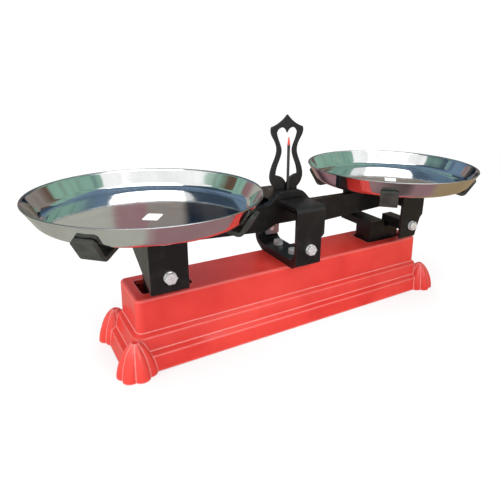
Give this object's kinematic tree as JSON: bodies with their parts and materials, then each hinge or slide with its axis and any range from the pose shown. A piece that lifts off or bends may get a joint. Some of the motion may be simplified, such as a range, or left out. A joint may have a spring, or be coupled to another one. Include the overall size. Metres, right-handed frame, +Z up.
{
  "type": "roberval balance",
  "caption": "Counter balance with a level beam, two lift-off dished pans, a lyre with a pointer and a stepped cast base on shell feet.",
  "frame": {"origin": "middle of the base on the table", "axes": "+X along the beam towards the right pan, -Y towards the front, +Z up"},
  "size_m": [0.5538, 0.2258, 0.241],
  "materials": {
    "red_paint": "gloss red enamel",
    "black_paint": "gloss black enamel",
    "bronze_paint": "satin dark brown",
    "raw_iron": "bare casting",
    "raw_steel": "rolled",
    "bearing_steel": "ground and hardened",
    "zinc": "bright zinc plate",
    "pan_steel": "mirror polished stainless"
  },
  "bodies": {
    "base": {"base_casting": "red_paint", "centre_stand": "black_paint", "fulcrum_bearings": "bearing_steel", "stand_bolts": "zinc", "sill_bolts": "zinc", "lyre_frame": "black_paint", "lyre_bracket": "bronze_paint", "lyre_screws": "zinc", "stay_bracket": "raw_iron", "stay_centre_pin": "bearing_steel"},
    "beam": {"beam_bar": "black_paint", "centre_knife": "bearing_steel", "left_knife": "bearing_steel", "right_knife": "bearing_steel", "pointer": "black_paint", "pointer_screws": "zinc"},
    "stay": {"stay_bar": "raw_steel", "stay_end_pins": "bearing_steel"},
    "left_carrier": {"left_frame": "black_paint", "left_stem": "black_paint", "left_bearings": "bearing_steel", "left_bolts": "zinc", "left_spider": "black_paint", "left_spider_screws": "zinc"},
    "left_pan_body": {"left_pan": "pan_steel"},
    "right_carrier": {"right_frame": "black_paint", "right_stem": "black_paint", "right_bearings": "bearing_steel", "right_bolts": "zinc", "right_spider": "black_paint", "right_spider_screws": "zinc"},
    "right_pan_body": {"right_pan": "pan_steel"}
  },
  "joints": [
    {"name": "beam_tilt", "type": "hinge", "parent": "base", "child": "beam", "pos_m": [0, 0, 0.129], "axis": [0, 1, 0], "range_deg": [-4.5, 4.5]},
    {"name": "stay_tilt", "type": "hinge", "parent": "base", "child": "stay", "pos_m": [0, 0, 0.036], "axis": [0, 1, 0], "range_deg": [-4.5, 4.5]},
    {"name": "left_carrier_level", "type": "hinge", "parent": "beam", "child": "left_carrier", "pos_m": [-0.164, 0, 0.129], "axis": [0, 1, 0], "range_deg": [-4.5, 4.5]},
    {"name": "left_pan_lift", "type": "slide", "parent": "left_carrier", "child": "left_pan_body", "axis": [0, 0, 1], "range_m": [0, 0.06]},
    {"name": "right_carrier_level", "type": "hinge", "parent": "beam", "child": "right_carrier", "pos_m": [0.164, 0, 0.129], "axis": [0, 1, 0], "range_deg": [-4.5, 4.5]},
    {"name": "right_pan_lift", "type": "slide", "parent": "right_carrier", "child": "right_pan_body", "axis": [0, 0, 1], "range_m": [0, 0.06]}
  ],
  "couplings": [
    {"joint": "stay_tilt", "follows": "beam_tilt", "ratio": 1},
    {"joint": "left_carrier_level", "follows": "beam_tilt", "ratio": -1},
    {"joint": "right_carrier_level", "follows": "beam_tilt", "ratio": -1}
  ]
}
